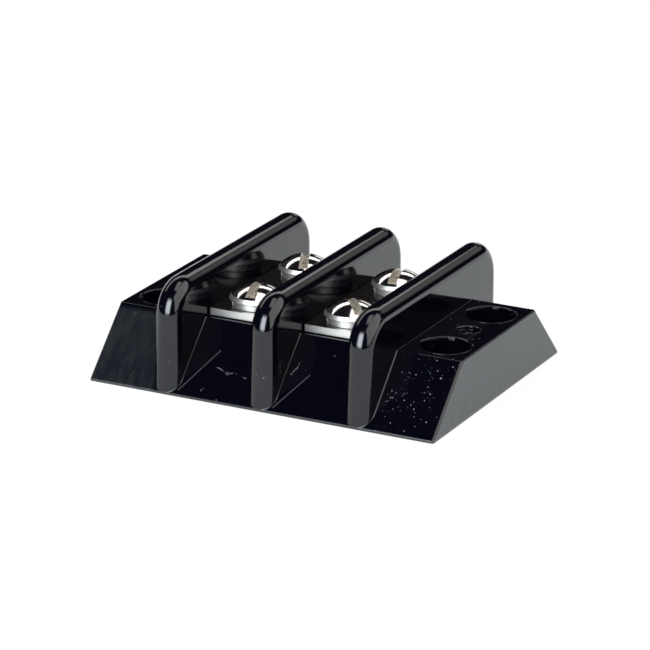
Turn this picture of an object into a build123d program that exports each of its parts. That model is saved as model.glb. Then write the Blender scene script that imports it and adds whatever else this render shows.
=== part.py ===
"""Two-pole barrier terminal strip with two rows of screws.

One black moulding stands on its flat bottom.  It is a low ridge with sloping
front and back, flat ends and a flat top, crossed by three thick barriers with
fully rounded edges.  A nickel-plated plate lies in each of the two channels
between the barriers.  A slotted binding-head screw with a captive spring lock
washer holds each end of a plate down to a threaded brass insert that is
moulded into the ridge.  Each end of the ridge has two counterbored mounting
holes with a small round recess between them.

Millimetres, +X along the row of poles, +Y to the back, +Z up.  The origin is
at the bottom, in the middle of the footprint.
"""
import os

from build123d import *

# Ridge
pole_count = 2
pole_pitch = 17.46
end_reach = 13.9
ridge_width = 50.8
ridge_top_width = 29.8
ridge_height = 10.7
lip_height = 0.4
hip_round = 0.5
top_edge_round = 0.25

# Barriers
barrier_height = 18.95
barrier_top_thickness = 4.4
barrier_foot_thickness = 5.0
barrier_corner_radius = 6.3
barrier_flat_strip = 0.06

# Mounting holes and the recess between them
mount_row_spacing = 17.9
mount_hole_diameter = 5.0
counterbore_diameter = 8.2
counterbore_depth = 3.8
recess_diameter = 3.8
recess_depth = 0.6
stub_diameter = 1.7
stub_height = 0.4

# Terminal plates
plate_length = 28.1
plate_thickness = 1.4
plate_side_gap = 0.1
plate_corner_radius = 0.3
plate_bottom_round = 0.25
plate_hole_clearance = 0.25

# Screws
screw_row_spacing = 18.0
screw_diameter = 4.83
screw_length = 9.5
screw_tip_chamfer = 0.6
head_diameter = 9.2
head_rim_bevel = 0.1
head_edge_height = 0.2
head_shoulder_diameter = 8.4
head_shoulder_height = 0.8
head_height = 2.5
slot_width = 1.5
slot_depth = 1.3
slot_angles = [8, 21, 44, 7]

# Lock washers
washer_diameter = 8.2
washer_thickness = 1.2
washer_bore_clearance = 0.06
washer_split_gap = 0.5
washer_split_lean = 25
washer_split_angle = 215
washer_edge_round = 0.15

# Threaded inserts
insert_across_flats = 7.0
insert_length = 7.0
insert_groove_depth = 0.6
insert_groove_width = 1.6
thread_clearance = 0.05
screw_tip_room = 0.9

# Worked out
row_length = pole_count * pole_pitch
ridge_length = row_length + 2 * end_reach
plate_top = ridge_height + plate_thickness
head_seat = plate_top + washer_thickness
mount_hole_x = row_length / 2 + (end_reach + barrier_foot_thickness / 2) / 2
side_draft = (barrier_foot_thickness - barrier_top_thickness) / barrier_height
barrier_thickness_at_plate = barrier_foot_thickness - side_draft * ridge_height
plate_width = pole_pitch - barrier_thickness_at_plate - 2 * plate_side_gap
threaded_bore = screw_diameter + 2 * thread_clearance
bore_depth = screw_length - washer_thickness - plate_thickness + screw_tip_room

# How a cylinder or box stands on the plane Z = 0, or hangs from it
STANDING = (Align.CENTER, Align.CENTER, Align.MIN)
HANGING = (Align.CENTER, Align.CENTER, Align.MAX)


def barrier_places():
    """X of each barrier, from left to right."""
    return [number * pole_pitch - row_length / 2 for number in range(pole_count + 1)]


def pole_places():
    """X of each pole, halfway between two barriers."""
    return [x + pole_pitch / 2 for x in barrier_places()[:-1]]


def terminal_places():
    """Name and centre (X, Y) of each screw."""
    places = {}
    for number, x in enumerate(pole_places(), start=1):
        places[f"{number}_front"] = (x, -screw_row_spacing / 2)
        places[f"{number}_back"] = (x, screw_row_spacing / 2)
    return places


def ridge():
    """The low ridge: its cross-section drawn out along X, with its edges eased."""
    half_foot = ridge_width / 2
    half_top = ridge_top_width / 2
    section = Polyline(
        (-half_foot, 0),
        (half_foot, 0),
        (half_foot, lip_height),
        (half_top, ridge_height),
        (-half_top, ridge_height),
        (-half_foot, lip_height),
        close=True,
    )
    body = extrude(Plane.YZ * make_face(section), ridge_length / 2, both=True)
    ends = body.faces().filter_by(Axis.X)
    hips = [edge for edge in ends.edges() if abs(edge.tangent_at(0).Z) > 0.1]
    body = fillet(hips, hip_round)
    top = body.faces().sort_by(Axis.Z)[-1]
    return fillet(top.edges(), top_edge_round)


def barrier():
    """One barrier at X = 0: a drafted slab with fully rounded front, top and back."""
    half_foot = barrier_foot_thickness / 2
    half_top = barrier_top_thickness / 2
    half_width = ridge_width / 2
    draft = Polyline(
        (-half_foot, 0),
        (half_foot, 0),
        (half_top, barrier_height),
        (-half_top, barrier_height),
        close=True,
    )
    slab = extrude(Plane.XZ * make_face(draft), half_width, both=True)
    outline = Rectangle(ridge_width, barrier_height, align=(Align.CENTER, Align.MIN))
    outline = fillet(outline.vertices().group_by(Axis.Y)[-1], barrier_corner_radius)
    slab = slab & extrude(Plane.YZ * outline, barrier_foot_thickness, both=True)
    sides = slab.faces().sort_by(Axis.X)
    rims = [edge for face in (sides[0], sides[-1]) for edge in face.edges() if edge.center().Z > 0.01]
    return fillet(rims, (barrier_top_thickness - barrier_flat_strip) / 2)


def mounting_hole():
    """Cutter for one counterbored mounting hole at X = Y = 0."""
    bore = Cylinder(mount_hole_diameter / 2, ridge_height, align=STANDING)
    head_room = Cylinder(counterbore_diameter / 2, counterbore_depth, align=HANGING)
    return bore + Pos(0, 0, ridge_height) * head_room


def end_recess():
    """Cutter for the round recess between two mounting holes, with the stub left in it."""
    floor = ridge_height - recess_depth
    pocket = Cylinder(recess_diameter / 2, recess_depth, align=STANDING)
    stub = Cylinder(stub_diameter / 2, stub_height, align=STANDING)
    return Pos(0, 0, floor) * (pocket - stub)


def screw_room():
    """Cutter at X = Y = 0 for the blind bore that a screw runs down into."""
    return Pos(0, 0, ridge_height) * Cylinder(threaded_bore / 2, bore_depth, align=HANGING)


def base_moulding():
    """Ridge and barriers in one piece, with its holes and the seats of the inserts."""
    body = ridge()
    for x in barrier_places():
        body += Pos(x, 0, 0) * barrier()
    for side in (-1, 1):
        body -= Pos(side * mount_hole_x, 0, 0) * end_recess()
        for row in (-1, 1):
            body -= Pos(side * mount_hole_x, row * mount_row_spacing / 2, 0) * mounting_hole()
    for x, y in terminal_places().values():
        body -= Pos(x, y, 0) * threaded_insert()
        body -= Pos(x, y, 0) * screw_room()
    return body


def terminal_plate():
    """One plate at X = 0, with two clearance holes for its screws."""
    plate = Box(plate_width, plate_length, plate_thickness, align=STANDING)
    plate = fillet(plate.edges().filter_by(Axis.Z), plate_corner_radius)
    plate = fillet(plate.faces().sort_by(Axis.Z)[0].edges(), plate_bottom_round)
    hole = Cylinder(screw_diameter / 2 + plate_hole_clearance, plate_thickness, align=STANDING)
    for row in (-1, 1):
        plate -= Pos(0, row * screw_row_spacing / 2, 0) * hole
    return Pos(0, 0, ridge_height) * plate


def threaded_insert():
    """One insert at X = Y = 0: a hexagonal brass nut with a groove that keys it in."""
    nut = extrude(RegularPolygon(insert_across_flats / 2, 6, major_radius=False), -insert_length)
    nut -= Cylinder(threaded_bore / 2, insert_length, align=HANGING)
    groove = Cylinder(insert_across_flats, insert_groove_width)
    groove -= Cylinder(insert_across_flats / 2 - insert_groove_depth, insert_groove_width)
    nut -= Pos(0, 0, -insert_length / 2) * groove
    return Pos(0, 0, ridge_height) * nut


def head_profile():
    """Half of the head's cross-section: a thin edge, a sloping flank and a domed crown."""
    rim = head_diameter / 2
    shoulder = head_shoulder_diameter / 2
    crown_rise = head_height - head_shoulder_height
    crown_radius = (shoulder**2 + crown_rise**2) / (2 * crown_rise)
    sides = Polyline(
        (0, head_height),
        (0, 0),
        (rim - head_rim_bevel, 0),
        (rim, head_rim_bevel),
        (rim, head_edge_height),
        (shoulder, head_shoulder_height),
    )
    crown = RadiusArc((shoulder, head_shoulder_height), (0, head_height), -crown_radius)
    return make_face(sides + crown)


def terminal_screw(slot_angle):
    """One slotted binding-head screw at X = Y = 0, its head seated on its washer."""
    head = revolve(Plane.XZ * head_profile(), Axis.Z)
    slot = Pos(0, 0, head_height) * Box(slot_width, head_diameter, 2 * slot_depth)
    shank = Cylinder(screw_diameter / 2, screw_length, align=HANGING)
    shank = chamfer(shank.edges().group_by(Axis.Z)[0], screw_tip_chamfer)
    return Pos(0, 0, head_seat) * Rot(0, 0, slot_angle) * (head - slot + shank)


def lock_washer():
    """One split spring washer at X = Y = 0, pressed flat on the plate."""
    ring = Cylinder(washer_diameter / 2, washer_thickness)
    ring = fillet(ring.edges().filter_by(GeomType.CIRCLE), washer_edge_round)
    ring -= Cylinder(screw_diameter / 2 + washer_bore_clearance, washer_thickness)
    split = Rot(washer_split_lean, 0, 0) * Box(washer_diameter, washer_split_gap, 3 * washer_thickness)
    ring -= Pos(washer_diameter / 2, 0, 0) * split
    return Pos(0, 0, plate_top + washer_thickness / 2) * Rot(0, 0, washer_split_angle) * ring


def build_parts():
    """Every sub-part in place, by node name."""
    parts = {"base_moulding": base_moulding()}
    for number, x in enumerate(pole_places(), start=1):
        parts[f"terminal_plate_{number}"] = Pos(x, 0, 0) * terminal_plate()
    for number, (name, (x, y)) in enumerate(terminal_places().items()):
        slot_angle = slot_angles[number % len(slot_angles)]
        parts["threaded_insert_" + name] = Pos(x, y, 0) * threaded_insert()
        parts["lock_washer_" + name] = Pos(x, y, 0) * lock_washer()
        parts["terminal_screw_" + name] = Pos(x, y, 0) * terminal_screw(slot_angle)
    return parts


os.makedirs("parts", exist_ok=True)
for node, part in build_parts().items():
    part.label = node
    export_step(part, f"parts/{node}.step")
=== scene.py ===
import math

import bmesh
import bpy
from mathutils import Matrix, Vector


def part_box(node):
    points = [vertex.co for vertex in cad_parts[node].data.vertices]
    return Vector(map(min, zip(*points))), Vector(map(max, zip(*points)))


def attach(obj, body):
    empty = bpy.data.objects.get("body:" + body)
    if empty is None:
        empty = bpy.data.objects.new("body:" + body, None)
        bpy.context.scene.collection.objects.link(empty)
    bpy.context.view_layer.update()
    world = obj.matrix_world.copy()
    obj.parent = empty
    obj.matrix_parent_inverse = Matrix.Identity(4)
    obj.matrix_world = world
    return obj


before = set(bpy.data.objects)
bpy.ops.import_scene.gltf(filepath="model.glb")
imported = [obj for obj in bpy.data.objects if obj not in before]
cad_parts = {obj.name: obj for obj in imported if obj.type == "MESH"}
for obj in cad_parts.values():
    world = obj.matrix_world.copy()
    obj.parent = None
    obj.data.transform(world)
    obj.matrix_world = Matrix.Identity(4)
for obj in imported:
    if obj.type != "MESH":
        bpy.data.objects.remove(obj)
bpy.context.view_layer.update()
scene = bpy.context.scene

# The photograph's camera: angles in degrees, and lengths in pole pitches from the point half a pitch
# above the origin
PITCH = 0.01746
CAMERA_AZIMUTH = 25.811
CAMERA_ELEVATION = 18.8602
CAMERA_ROLL = 1.008
CAMERA_DISTANCE = 39.2379
CAMERA_RIGHT = 0.0253
CAMERA_UP = 0.0781
FOCAL_PIXELS = 4097.99
PICTURE_SIDE = 650
SENSOR = 36.0

# The ridge, the barriers with the radius of their rounding, and the plates, as in the part's source,
# in metres
RIDGE_END = 0.03136
RIDGE_FRONT = 0.0254
RIDGE_TOP_FRONT = 0.0149
RIDGE_LIP = 0.0004
RIDGE_TOP = 0.0107
BARRIER_HEIGHT = 0.01895
BARRIER_HALF_FOOT = 0.0025
BARRIER_HALF_TOP = 0.0022
BARRIER_LEAN = (BARRIER_HALF_FOOT - BARRIER_HALF_TOP) / BARRIER_HEIGHT
BARRIER_NOSE = 0.00217
PLATE_END = 0.01405

# The fillets at the barriers' feet: their radius, where they have died away on the ridge's top,
# over what length they do so, and how deep their faces and their hidden corner are sunk
JUNCTION_RADIUS = 0.0003
JUNCTION_END = 0.0142
JUNCTION_FADE = 0.0009
JUNCTION_SINK = 0.00002
JUNCTION_ROOT = 0.00015

# The counterbores and the recesses between them
HOLE_X = 0.02566
HOLE_Y = 0.00895
HOLE_RADIUS = 0.0041
RECESS_RADIUS = 0.0019

# Their rounded rims: width and depth of each, how far they stand up, and how they lap the moulding
HOLE_RIM = (0.0005, 0.00045)
RECESS_RIM = (0.0003, 0.00025)
RIM_RISE = 0.00005
RIM_SKIRT = 0.00005
RIM_OVERHANG = 0.00002
RIM_ROOT = 0.0001

# Edges of the added pieces that turn by more than this, in degrees, stay sharp
SHARP_ANGLE = 50

# Screw heads: the radii where the rough rim begins and where it reaches full strength, and each
# slot's half width, floor and angle
HEAD_RIM = (0.0041, 0.00425)
SLOT_HALF_WIDTH = 0.00075
SLOT_FLOOR = 0.0145
SLOT_ANGLES = {
    "terminal_screw_1_front": 8,
    "terminal_screw_1_back": 21,
    "terminal_screw_2_front": 44,
    "terminal_screw_2_back": 7,
}

# Where the moulding's marks begin, and where they reach full strength: towards -X, +X, -Y and -Z
LEFT_END = (0.0190, 0.0202)
RIGHT_END = (0.0198, 0.0215)
FRONT_SLOPE = (0.0140, 0.0158)
BELOW_TOP = (-0.0106, -0.0096)

# Front slope: the ends of each scratch, which is wear, and of each streak, which is a painted reflection
# of a barrier's nose edge in the slope, and how wide they reach
SCRATCHES = [
    ((-0.0098, -0.0211, 0.0046), (-0.0072, -0.0217, 0.0040)),
    ((-0.0076, -0.0214, 0.0043), (-0.0042, -0.0217, 0.0040)),
    ((-0.0110, -0.0245, 0.0013), (-0.0106, -0.0241, 0.0017)),
    ((0.0034, -0.0203, 0.0054), (0.0041, -0.0186, 0.0071)),
]
PAINTED_NOSE_REFLECTIONS = [
    ((-0.0150, -0.0248, 0.0010), (-0.0103, -0.0189, 0.0068)),
    ((0.0024, -0.0248, 0.0010), (0.0066, -0.0200, 0.0057)),
]
SCRATCH_REACH = 0.00016
PAINTED_REFLECTION_REACH = 0.00022

# How far from a face a point still counts as on it, and the same for the walls of a slot
FACE_MARGIN = 0.00005
SLOT_MARGIN = 0.00002

# Share of the floor's look that is plain white, to the camera and in reflections
FLOOR_WHITE = 0.9
FLOOR_WHITE_MIRRORED = 0.72

# How much of the light is left in a reflection of a reflection, where the photograph is black.
# A lamp's shader counts one bounce more than a mesh's shader does.
SECOND_BOUNCE = 0.25
MESH_BOUNCE_LIMIT = 1.5
LAMP_BOUNCE_LIMIT = 2.5

# The lamps: how far off they are, the point they surround, and their colours
LAMP_DISTANCE = 0.6
LAMP_CENTRE = Vector((0, 0, 0.01))
KEY_COLOUR = (0.87, 0.94, 1.0)
PANEL_COLOUR = (1.0, 0.98, 0.96)
BACK_COLOUR = (1.0, 0.92, 0.88)
STRIP_COLOUR = (1.0, 0.99, 0.97)

# Half the width of the square floor
FLOOR_REACH = 3.0


class Nodes:
    """A material's, lamp's or world's node tree, with short ways to add nodes to it."""

    def __init__(self, owner):
        owner.use_nodes = True
        self.tree = owner.node_tree
        self.tree.nodes.clear()

    def add(self, kind, **settings):
        """Adds a node and sets its properties."""
        node = self.tree.nodes.new(kind)
        for name, value in settings.items():
            setattr(node, name, value)
        return node

    def put(self, node, socket, value):
        """Links value to a socket if it is one itself, and otherwise writes it there."""
        target = node.inputs[socket]
        if isinstance(value, bpy.types.NodeSocket):
            self.tree.links.new(value, target)
        else:
            target.default_value = value

    def math(self, operation, first, second=0.0, third=0.0, clamp=False):
        node = self.add("ShaderNodeMath", operation=operation, use_clamp=clamp)
        for place, value in enumerate((first, second, third)):
            self.put(node, place, value)
        return node.outputs[0]

    def vector_math(self, operation, first, second=(0.0, 0.0, 0.0), output="Vector"):
        node = self.add("ShaderNodeVectorMath", operation=operation)
        self.put(node, 0, first)
        self.put(node, 1, second)
        return node.outputs[output]

    def mix(self, share, first, second):
        node = self.add("ShaderNodeMix", data_type="RGBA")
        self.put(node, 0, share)
        self.put(node, 6, first)
        self.put(node, 7, second)
        return node.outputs[2]

    def ramp(self, value, low, high):
        """0 below low, 1 above high, and smooth between."""
        node = self.add("ShaderNodeMapRange", interpolation_type="SMOOTHSTEP")
        self.put(node, "Value", value)
        self.put(node, "From Min", low)
        self.put(node, "From Max", high)
        return node.outputs["Result"]

    def noise(self, place, scale, detail=2.0, roughness=0.5, distortion=0.0):
        node = self.add("ShaderNodeTexNoise")
        self.put(node, "Vector", place)
        self.put(node, "Scale", scale)
        self.put(node, "Detail", detail)
        self.put(node, "Roughness", roughness)
        self.put(node, "Distortion", distortion)
        return node.outputs["Fac"]

    def channel(self, colour, number):
        """One channel of a colour."""
        node = self.add("ShaderNodeSeparateColor")
        self.put(node, 0, colour)
        return node.outputs[number]

    def wander(self, place, scale, reach):
        """A small vector that varies from place to place, to make regular shapes irregular."""
        node = self.add("ShaderNodeTexNoise")
        self.put(node, "Vector", place)
        self.put(node, "Scale", scale)
        middle = self.vector_math("SUBTRACT", node.outputs["Color"], (0.5, 0.5, 0.5))
        return self.vector_math("MULTIPLY", middle, (reach, reach, reach))

    def near_line(self, place, start, end, reach):
        """1 on the line from start to end, fading to 0 at reach from it."""
        start, end = Vector(start), Vector(end)
        along = (end - start) / (end - start).length_squared
        offset = self.vector_math("SUBTRACT", place, tuple(start))
        share = self.math("MAXIMUM", self.vector_math("DOT_PRODUCT", offset, tuple(along), "Value"), 0.0)
        share = self.math("MINIMUM", share, 1.0)
        foot = self.add("ShaderNodeVectorMath", operation="SCALE")
        self.put(foot, 0, tuple(end - start))
        self.put(foot, "Scale", share)
        away = self.vector_math("DISTANCE", offset, foot.outputs[0], "Value")
        return self.math("SUBTRACT", 1.0, self.ramp(away, 0.0, reach))

    def dents(self, place, scale, strength):
        """A normal for a slightly uneven surface."""
        bump = self.add("ShaderNodeBump")
        self.put(bump, "Strength", strength)
        self.put(bump, "Distance", 0.0001)
        self.put(bump, "Height", self.noise(place, scale, 3.0))
        return bump.outputs["Normal"]

    def first_bounce(self, limit):
        """1 for light that is seen directly or in one reflection, and less in a reflection of that."""
        depth = self.add("ShaderNodeLightPath").outputs["Ray Depth"]
        first = self.math("LESS_THAN", depth, limit)
        return self.math("MULTIPLY_ADD", first, 1.0 - SECOND_BOUNCE, SECOND_BOUNCE)

    def finish(self, shader):
        """Makes a shader the material's surface."""
        out = self.add("ShaderNodeOutputMaterial")
        self.put(out, "Surface", shader.outputs[0])


def rgb(red, green, blue):
    return (red, green, blue, 1.0)


def haze_share(n, place, left, front, low):
    """Flow marks that run down the front-left slope, where the surface is dull."""
    stretched = n.vector_math("MULTIPLY", place, (1.0, 0.35, 0.35))
    flow = n.ramp(n.noise(stretched, 420.0, 4.0, 0.6, 0.6), 0.30, 0.66)
    where = n.math("MULTIPLY", n.math("MULTIPLY", left, front), low)
    return n.math("MULTIPLY", where, n.math("MULTIPLY_ADD", flow, 0.45, 0.40))


def dust_share(n, place, right, front):
    """Fine specks of many sizes, thick on the right end's slope and thin elsewhere."""
    specks = n.add("ShaderNodeTexVoronoi", feature="F1")
    n.put(specks, "Vector", n.vector_math("ADD", place, n.wander(place, 1500.0, 0.0004)))
    n.put(specks, "Scale", 2300.0)
    chance, size, strength = (n.channel(specks.outputs["Color"], number) for number in range(3))
    reach = n.math("MULTIPLY_ADD", n.math("MULTIPLY", size, size), 0.26, 0.07)
    near = n.math("LESS_THAN", specks.outputs["Distance"], reach)
    patchy = n.ramp(n.noise(place, 210.0, 3.0), 0.36, 0.60)
    share = n.math("MULTIPLY_ADD", n.math("MULTIPLY", right, patchy), 0.60, 0.02)
    share = n.math("MULTIPLY", share, n.math("MULTIPLY_ADD", front, 0.85, 0.15))
    present = n.math("LESS_THAN", chance, share)
    return n.math("MULTIPLY", n.math("MULTIPLY", near, present), strength)


def lines_share(n, place, lines, reach):
    """Thin marks along straight lines, given by their ends."""
    share = 0.0
    for start, end in lines:
        share = n.math("MAXIMUM", n.near_line(place, start, end, reach), share)
    return share


def moulding_material():
    """Glossy black moulding: a hazy front-left slope, dust, scratches and a lighter lip at the foot."""
    material = bpy.data.materials.new("black_moulding")
    n = Nodes(material)
    place = n.add("ShaderNodeTexCoord").outputs["Object"]
    parts = n.add("ShaderNodeSeparateXYZ")
    n.put(parts, 0, place)
    x, y, z = parts.outputs

    left = n.ramp(n.math("MULTIPLY", x, -1.0), *LEFT_END)
    right = n.ramp(x, *RIGHT_END)
    front = n.ramp(n.math("MULTIPLY", y, -1.0), *FRONT_SLOPE)
    low = n.ramp(n.math("MULTIPLY", z, -1.0), *BELOW_TOP)

    crooked = n.vector_math("ADD", place, n.wander(place, 900.0, 0.0009))
    scratch = lines_share(n, crooked, SCRATCHES, SCRATCH_REACH)
    # Streaks of painted reflection: the barriers' bright nose edges as mirrored in the front slope
    painted_reflection = lines_share(n, place, PAINTED_NOSE_REFLECTIONS, PAINTED_REFLECTION_REACH)
    # The lip at the foot gets a slightly lighter colour
    lip = n.math("LESS_THAN", z, RIDGE_LIP + FACE_MARGIN)
    marks_and_painted_reflection = n.math("MULTIPLY", dust_share(n, place, right, front), 1.3)
    marks_and_painted_reflection = n.math("MAXIMUM", marks_and_painted_reflection, n.math("MULTIPLY", scratch, 0.7))
    marks_and_painted_reflection = n.math("MAXIMUM", marks_and_painted_reflection, n.math("MULTIPLY", painted_reflection, 0.22))
    marks_and_painted_reflection = n.math("MAXIMUM", marks_and_painted_reflection, n.math("MULTIPLY", lip, 0.16), clamp=True)

    # The haze and the right end's face are matt
    end = n.math("GREATER_THAN", x, RIDGE_END - FACE_MARGIN)
    matt = n.math("MAXIMUM", haze_share(n, place, left, front, low), n.math("MULTIPLY", end, 0.8))
    tone = n.mix(matt, rgb(0.0010, 0.0011, 0.0030), rgb(0.015, 0.017, 0.020))

    shader = n.add("ShaderNodeBsdfPrincipled")
    n.put(shader, "IOR", 1.6)
    # Dust, scratches, the lighter lip and the painted reflection streaks all lighten the base colour
    n.put(shader, "Base Color", n.mix(marks_and_painted_reflection, tone, rgb(0.17, 0.17, 0.17)))
    cloud = n.noise(place, 260.0, 4.0, 0.6)
    rough = n.math("MULTIPLY_ADD", cloud, 0.13, 0.015)
    rough = n.math("ADD", rough, n.math("MULTIPLY", matt, 0.20))
    n.put(shader, "Roughness", n.math("ADD", rough, n.math("MULTIPLY", marks_and_painted_reflection, 0.3), clamp=True))

    # Slow waves in the surface, and a slight easing of its sharp edges
    edge = n.add("ShaderNodeBevel", samples=6)
    n.put(edge, "Radius", 0.00022)
    bump = n.add("ShaderNodeBump")
    n.put(bump, "Strength", 0.16)
    n.put(bump, "Distance", 0.0002)
    n.put(bump, "Height", n.noise(place, 110.0, 3.0, 0.55))
    n.put(bump, "Normal", edge.outputs["Normal"])
    n.put(shader, "Normal", bump.outputs["Normal"])

    n.finish(shader)
    return material


def washer_material():
    """Nickel plate on spring steel, dull and slightly uneven."""
    material = bpy.data.materials.new("nickel_washer")
    n = Nodes(material)
    place = n.add("ShaderNodeTexCoord").outputs["Object"]
    shader = n.add("ShaderNodeBsdfPrincipled")
    n.put(shader, "Metallic", 1.0)
    stains = n.ramp(n.noise(place, 420.0, 4.0, 0.6), 0.50, 0.72)
    n.put(shader, "Base Color", n.mix(stains, rgb(0.93, 0.92, 0.89), rgb(0.6696, 0.6624, 0.6408)))
    spots = n.noise(place, 900.0, 3.0, 0.6)
    n.put(shader, "Roughness", n.math("MULTIPLY_ADD", spots, 0.18, 0.34))
    n.put(shader, "Normal", n.dents(place, 500.0, 0.4))
    n.finish(shader)
    return material


def plate_material():
    """Nickel plate with a polished, stained top and paler, rougher cut ends."""
    material = bpy.data.materials.new("nickel_plate")
    n = Nodes(material)
    place = n.add("ShaderNodeTexCoord").outputs["Object"]
    parts = n.add("ShaderNodeSeparateXYZ")
    n.put(parts, 0, place)
    cut = n.math("GREATER_THAN", n.math("ABSOLUTE", parts.outputs[1]), PLATE_END - FACE_MARGIN)
    shader = n.add("ShaderNodeBsdfPrincipled")
    n.put(shader, "Metallic", 1.0)
    stains = n.ramp(n.noise(place, 300.0, 4.0, 0.65), 0.42, 0.70)
    top = n.mix(stains, rgb(0.52, 0.47, 0.44), rgb(0.30, 0.25, 0.23))
    n.put(shader, "Base Color", n.mix(cut, top, rgb(0.92, 0.90, 0.88)))
    spots = n.noise(place, 900.0, 3.0, 0.6)
    smooth = n.math("MULTIPLY_ADD", spots, 0.12, 0.03)
    n.put(shader, "Roughness", n.math("MULTIPLY_ADD", cut, 0.26, smooth))
    n.put(shader, "Normal", n.dents(place, 420.0, 0.22))
    n.finish(shader)
    return material


def screw_material(name, centre, angle):
    """Nickel screw with a rough rim, and a dull tan slot at this angle through this centre."""
    material = bpy.data.materials.new(name)
    n = Nodes(material)
    place = n.add("ShaderNodeTexCoord").outputs["Object"]
    mapping = n.add("ShaderNodeMapping", vector_type="TEXTURE")
    n.put(mapping, "Vector", place)
    n.put(mapping, "Location", (centre[0], centre[1], 0.0))
    n.put(mapping, "Rotation", (0.0, 0.0, math.radians(angle)))
    parts = n.add("ShaderNodeSeparateXYZ")
    n.put(parts, 0, mapping.outputs[0])
    across = n.math("ABSOLUTE", parts.outputs[0])
    inside = n.math("LESS_THAN", across, SLOT_HALF_WIDTH + SLOT_MARGIN)
    above = n.math("GREATER_THAN", parts.outputs[2], SLOT_FLOOR - FACE_MARGIN)
    slot = n.math("MULTIPLY", inside, above)

    shader = n.add("ShaderNodeBsdfPrincipled")
    n.put(shader, "Metallic", 1.0)
    cuts = n.noise(place, 1700.0, 3.0, 0.7)
    tan = n.mix(n.ramp(cuts, 0.38, 0.62), rgb(0.30, 0.25, 0.18), rgb(0.80, 0.74, 0.62))
    lip = n.ramp(across, 0.6 * SLOT_HALF_WIDTH, 0.9 * SLOT_HALF_WIDTH)
    tan = n.mix(lip, tan, rgb(0.92, 0.88, 0.80))
    flat = n.vector_math("MULTIPLY", mapping.outputs[0], (1.0, 1.0, 0.0))
    rim = n.ramp(n.vector_math("LENGTH", flat, output="Value"), *HEAD_RIM)
    stains = n.ramp(n.noise(place, 520.0, 4.0, 0.6), 0.52, 0.74)
    plain = n.mix(stains, rgb(0.82, 0.80, 0.76), rgb(0.58, 0.53, 0.47))
    plain = n.mix(rim, plain, rgb(0.94, 0.93, 0.90))
    n.put(shader, "Base Color", n.mix(slot, plain, tan))
    smooth = n.math("MULTIPLY_ADD", cuts, 0.07, 0.06)
    dull = n.math("MAXIMUM", n.math("MULTIPLY", slot, 0.42), n.math("MULTIPLY", rim, 0.30))
    n.put(shader, "Roughness", n.math("ADD", dull, smooth))
    n.put(shader, "Normal", n.dents(place, 650.0, 0.25))
    n.finish(shader)
    return material


def brass_material():
    """Turned brass of the hidden inserts."""
    material = bpy.data.materials.new("turned_brass")
    n = Nodes(material)
    place = n.add("ShaderNodeTexCoord").outputs["Object"]
    shader = n.add("ShaderNodeBsdfPrincipled")
    tone = n.noise(place, 700.0, 3.0)
    n.put(shader, "Base Color", n.mix(tone, rgb(0.72, 0.55, 0.26), rgb(0.82, 0.66, 0.36)))
    n.put(shader, "Metallic", 1.0)
    n.put(shader, "Roughness", n.math("MULTIPLY_ADD", tone, 0.2, 0.2))
    n.finish(shader)
    return material


def floor_material():
    """White floor that stays white to the camera and in reflections, and keeps some of its shadow."""
    material = bpy.data.materials.new("white_floor")
    n = Nodes(material)
    path = n.add("ShaderNodeLightPath")
    mirrored = n.math("MAXIMUM", path.outputs["Is Glossy Ray"], path.outputs["Is Transmission Ray"])
    mirrored = n.math("MULTIPLY", mirrored, FLOOR_WHITE_MIRRORED)
    seen = n.math("MAXIMUM", n.math("MULTIPLY", path.outputs["Is Camera Ray"], FLOOR_WHITE), mirrored)
    diffuse = n.add("ShaderNodeBsdfDiffuse")
    n.put(diffuse, "Color", rgb(0.93, 0.93, 0.93))
    white = n.add("ShaderNodeEmission")
    n.put(white, "Color", n.mix(path.outputs["Is Camera Ray"], rgb(0.94, 0.99, 1.0), rgb(1.0, 1.0, 1.0)))
    n.put(white, "Strength", n.first_bounce(MESH_BOUNCE_LIMIT))
    mixed = n.add("ShaderNodeMixShader")
    n.put(mixed, 0, seen)
    n.put(mixed, 1, diffuse.outputs[0])
    n.put(mixed, 2, white.outputs[0])
    n.finish(mixed)
    return material


def set_material(node, material):
    """Gives a CAD node one material in place of what it was packed with."""
    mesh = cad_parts[node].data
    mesh.materials.clear()
    mesh.materials.append(material)


def dress_nodes():
    """Gives every CAD node its material, by the start of its name, and each screw one of its own."""
    looks = {
        "base_moulding": moulding,
        "terminal_plate": plate_material(),
        "lock_washer": washer_material(),
        "threaded_insert": brass_material(),
    }
    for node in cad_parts:
        if node in SLOT_ANGLES:
            low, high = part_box(node)
            centre = [(a + b) / 2 for a, b in zip(low, high)]
            set_material(node, screw_material("nickel_" + node, centre, SLOT_ANGLES[node]))
        else:
            set_material(node, next(look for start, look in looks.items() if node.startswith(start)))


moulding = moulding_material()
dress_nodes()


def ridge_point(y):
    """Height and outward normal of the ridge's surface at this distance along Y."""
    slope = Vector((0, RIDGE_TOP - RIDGE_LIP, RIDGE_FRONT - RIDGE_TOP_FRONT)).normalized()
    away = abs(y)
    if away <= RIDGE_TOP_FRONT:
        return RIDGE_TOP, Vector((0, 0, 1))
    run = (RIDGE_FRONT - away) / (RIDGE_FRONT - RIDGE_TOP_FRONT)
    height = RIDGE_LIP + run * (RIDGE_TOP - RIDGE_LIP)
    return height, Vector((0, math.copysign(slope.y, y), slope.z))


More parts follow.
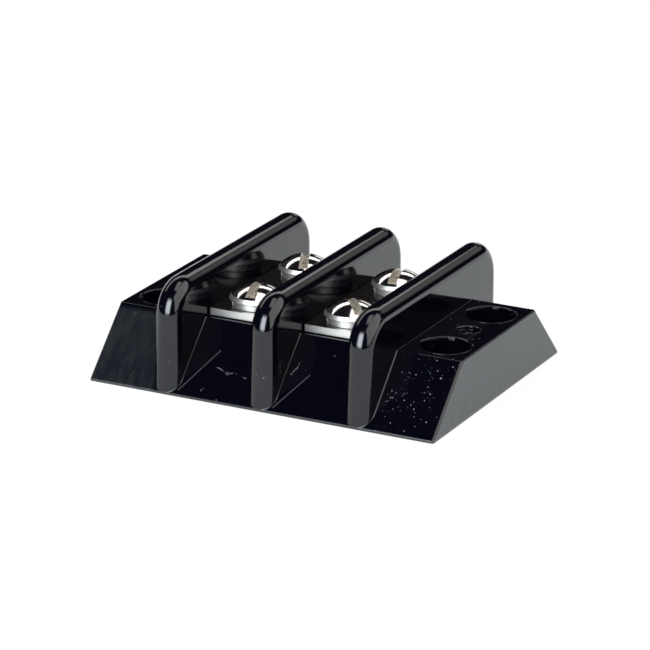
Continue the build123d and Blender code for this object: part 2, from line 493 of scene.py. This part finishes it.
def junction_paths(barrier_x, side):
    """Points where one flank of a barrier meets the ridge's front slope and its back slope.

    Each point comes with both surfaces' normals and the fillet's radius, which dies away
    at the ridge's foot and top.
    """
    front = []
    nose_steps = 9
    for step in range(1, nose_steps + 1):
        turn = math.radians(90 * step / nose_steps)
        y = -RIDGE_FRONT + BARRIER_NOSE * (1 - math.cos(turn))
        height, up = ridge_point(y)
        half = BARRIER_HALF_FOOT - BARRIER_LEAN * height
        x = barrier_x + side * (half - BARRIER_NOSE * (1 - math.sin(turn)))
        flank = Vector((side * math.sin(turn), -math.cos(turn), BARRIER_LEAN * math.sin(turn)))
        radius = min(JUNCTION_RADIUS, RIDGE_FRONT + y)
        front.append((Vector((x, y, height)), up, flank.normalized(), radius))

    # The straight flank, with closer points where the slope turns into the top
    flank_start, flank_step = -0.0228, 0.0008
    rows = [flank_start + flank_step * step for step in range(10)]
    rows += [-RIDGE_TOP_FRONT + past for past in (-0.00015, 0.0, 0.00015, 0.0004, 0.0006)]
    for y in rows:
        height, up = ridge_point(y)
        if y == -RIDGE_TOP_FRONT:
            up = (up + ridge_point(-RIDGE_FRONT)[1]).normalized()
        x = barrier_x + side * (BARRIER_HALF_FOOT - BARRIER_LEAN * height)
        flank = Vector((side, 0, BARRIER_LEAN)).normalized()
        radius = JUNCTION_RADIUS * min(1.0, (-y - JUNCTION_END) / JUNCTION_FADE)
        front.append((Vector((x, y, height)), up, flank, radius))
    flip = Vector((1, -1, 1))
    back = [(corner * flip, up * flip, flank * flip, radius) for corner, up, flank, radius in front]
    return front, back


def moulding_piece(name, verts, faces):
    """A closed piece of moulding on the block, with its faces outwards and its curves smooth."""
    mesh = bpy.data.meshes.new(name)
    mesh.from_pydata(verts, [], faces)
    shell = bmesh.new()
    shell.from_mesh(mesh)
    bmesh.ops.recalc_face_normals(shell, faces=shell.faces)
    shell.to_mesh(mesh)
    shell.free()
    mesh.polygons.foreach_set("use_smooth", [True] * len(mesh.polygons))
    mesh.set_sharp_from_angle(angle=math.radians(SHARP_ANGLE))
    mesh.materials.append(moulding)
    piece = bpy.data.objects.new(name, mesh)
    scene.collection.objects.link(piece)
    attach(piece, "block")


def junction_bead(name, path):
    """A small concave fillet of moulding along a path, closed and sunk a little into the corner."""
    arc_steps = 6
    verts = []
    for corner, up, flank, radius in path:
        centre = corner + (up + flank) * (radius / (1 + up.dot(flank)))
        start, end = -up, -flank
        spread = start.angle(end)
        for step in range(arc_steps + 1):
            share = step / arc_steps
            out = start * math.sin((1 - share) * spread) + end * math.sin(share * spread)
            verts.append(centre + out * ((radius + JUNCTION_SINK) / math.sin(spread)))
        verts.append(corner - (up + flank).normalized() * JUNCTION_ROOT)
    ring = arc_steps + 2
    faces = []
    for k in range(len(path) - 1):
        for j in range(ring):
            a, b = k * ring + j, k * ring + (j + 1) % ring
            faces.append((a, b, b + ring, a + ring))
    faces.append(tuple(range(ring)))
    faces.append(tuple(reversed(range(len(verts) - ring, len(verts)))))
    moulding_piece(name, verts, faces)


def junction_beads():
    """The fillets where the barriers grow out of the ridge."""
    for number, place in enumerate((-PITCH, 0.0, PITCH), start=1):
        for side, side_name in ((-1, "left"), (1, "right")):
            for part, path in zip(("front", "back"), junction_paths(place, side)):
                junction_bead(f"junction_{number}_{side_name}_{part}", path)


junction_beads()


def rim_roll(name, x, y, radius, wide, deep):
    """A rounded rim round a hole in the ridge's top: a closed ring that eases its sharp edge."""
    arc_steps = 8
    around = 96
    profile = [(wide, -RIM_SKIRT), (wide, 0.0)]
    for step in range(arc_steps + 1):
        turn = math.radians(90 * step / arc_steps)
        out = wide * (1 - math.sin(turn)) - RIM_OVERHANG
        profile.append((out, RIM_RISE - deep * (1 - math.cos(turn))))
    profile.append((RIM_ROOT, -deep))
    verts = []
    for k in range(around):
        turn = 2 * math.pi * k / around
        for out, height in profile:
            reach = radius + out
            verts.append((x + reach * math.cos(turn), y + reach * math.sin(turn), RIDGE_TOP + height))
    ring = len(profile)
    faces = []
    for k in range(around):
        for j in range(ring):
            a, b = k * ring + j, k * ring + (j + 1) % ring
            c, d = ((k + 1) % around) * ring + (j + 1) % ring, ((k + 1) % around) * ring + j
            faces.append((a, b, c, d))
    moulding_piece(name, verts, faces)


def rim_rolls():
    """The rims of the four counterbores and the two recesses."""
    for side, side_name in ((-1, "left"), (1, "right")):
        for row, row_name in ((-1, "front"), (1, "back")):
            name = f"hole_rim_{side_name}_{row_name}"
            rim_roll(name, side * HOLE_X, row * HOLE_Y, HOLE_RADIUS, *HOLE_RIM)
        rim_roll(f"recess_rim_{side_name}", side * HOLE_X, 0.0, RECESS_RADIUS, *RECESS_RIM)


rim_rolls()


def floor():
    """A wide floor under the object."""
    mesh = bpy.data.meshes.new("floor")
    half = FLOOR_REACH
    corners = [(-half, -half, 0), (half, -half, 0), (half, half, 0), (-half, half, 0)]
    mesh.from_pydata(corners, [], [(0, 1, 2, 3)])
    mesh.materials.append(floor_material())
    piece = bpy.data.objects.new("floor", mesh)
    scene.collection.objects.link(piece)


floor()


def direction(azimuth, elevation):
    """Unit vector.  Azimuth 0 is +Y and 90 is +X, elevation is above the horizon, in degrees."""
    a, e = math.radians(azimuth), math.radians(elevation)
    return Vector((math.sin(a) * math.cos(e), math.cos(a) * math.cos(e), math.sin(e)))


def softbox(name, azimuth, elevation, wide, high, radiance, colour, soft):
    """A rectangular lamp that covers wide by high degrees, seen from the object.

    azimuth and elevation give its middle, and soft is the share of its width and height over
    which its brightness fades at each edge.
    """
    lamp = bpy.data.lights.new(name, "AREA")
    lamp.shape = "RECTANGLE"
    lamp.size = 2 * LAMP_DISTANCE * math.tan(math.radians(wide / 2))
    lamp.size_y = 2 * LAMP_DISTANCE * math.tan(math.radians(high / 2))
    lamp.energy = radiance * math.pi * lamp.size * lamp.size_y
    lamp.color = colour
    n = Nodes(lamp)
    geometry = n.add("ShaderNodeNewGeometry")
    parts = n.add("ShaderNodeSeparateXYZ")
    n.put(parts, 0, geometry.outputs["Parametric"])
    strength = n.first_bounce(LAMP_BOUNCE_LIMIT)
    for axis in (0, 1):
        inwards = n.math("MINIMUM", parts.outputs[axis], n.math("SUBTRACT", 1.0, parts.outputs[axis]))
        strength = n.math("MULTIPLY", n.ramp(inwards, 0.0, soft), strength)
    emission = n.add("ShaderNodeEmission")
    n.put(emission, "Strength", strength)
    out = n.add("ShaderNodeOutputLight")
    n.put(out, "Surface", emission.outputs[0])
    piece = bpy.data.objects.new(name, lamp)
    towards = direction(azimuth, elevation)
    piece.location = towards * LAMP_DISTANCE + LAMP_CENTRE
    piece.rotation_mode = "QUATERNION"
    piece.rotation_quaternion = towards.to_track_quat("Z", "Y")
    piece.visible_camera = False
    scene.collection.objects.link(piece)


softbox("key", -176, 24, 46, 52, 10.2, KEY_COLOUR, 0.28)
softbox("side", 86, 36, 78, 66, 1.8, PANEL_COLOUR, 0.05)
softbox("top", 72, 81, 36, 24, 1.8, PANEL_COLOUR, 0.06)
softbox("back", 18, 25, 24, 22, 0.55, BACK_COLOUR, 0.3)
softbox("overhead", -42, 44, 84, 17, 1.7, STRIP_COLOUR, 0.12)
softbox("low_left", -50, 7, 28, 10, 1.2, STRIP_COLOUR, 0.1)
softbox("low_right", -10, 13, 16, 10, 1.2, STRIP_COLOUR, 0.1)


def studio_world():
    """White to the camera, dark in reflections, and a little plain fill for matt surfaces."""
    world = bpy.data.worlds.new("studio")
    scene.world = world
    w = Nodes(world)
    path = w.add("ShaderNodeLightPath")

    def background(colour, strength):
        node = w.add("ShaderNodeBackground")
        w.put(node, "Color", colour)
        w.put(node, "Strength", strength)
        return node.outputs[0]

    def choose(share, first, second):
        node = w.add("ShaderNodeMixShader")
        w.put(node, 0, share)
        w.put(node, 1, first)
        w.put(node, 2, second)
        return node.outputs[0]

    fill = background(rgb(1.0, 1.0, 1.0), 0.3)
    dim = background(rgb(0.010, 0.009, 0.013), 1.0)
    white = background(rgb(1.0, 1.0, 1.0), 1.0)
    unseen = choose(path.outputs["Is Glossy Ray"], fill, dim)
    out = w.add("ShaderNodeOutputWorld")
    w.put(out, "Surface", choose(path.outputs["Is Camera Ray"], unseen, white))


studio_world()


def place_camera():
    """The photograph's viewpoint."""
    yaw, tilt, roll = (math.radians(v) for v in (CAMERA_AZIMUTH, CAMERA_ELEVATION, CAMERA_ROLL))
    back = Vector((math.sin(yaw) * math.cos(tilt), -math.cos(yaw) * math.cos(tilt), math.sin(tilt)))
    right = Vector((0, 0, 1)).cross(back).normalized()
    up = back.cross(right)
    across = right * math.cos(roll) + up * math.sin(roll)
    upward = up * math.cos(roll) - right * math.sin(roll)
    aim = Vector((0, 0, 0.5)) - across * CAMERA_RIGHT - upward * CAMERA_UP
    camera = bpy.data.cameras.new("camera")
    camera.sensor_width = SENSOR
    camera.lens = FOCAL_PIXELS / PICTURE_SIDE * SENSOR
    camera.clip_start = 0.01
    camera.clip_end = 50.0
    piece = bpy.data.objects.new("camera", camera)
    turn = Matrix((across, upward, back)).transposed()
    piece.matrix_world = Matrix.Translation((aim + back * CAMERA_DISTANCE) * PITCH) @ turn.to_4x4()
    scene.collection.objects.link(piece)
    scene.camera = piece


place_camera()
scene.view_settings.view_transform = "Standard"
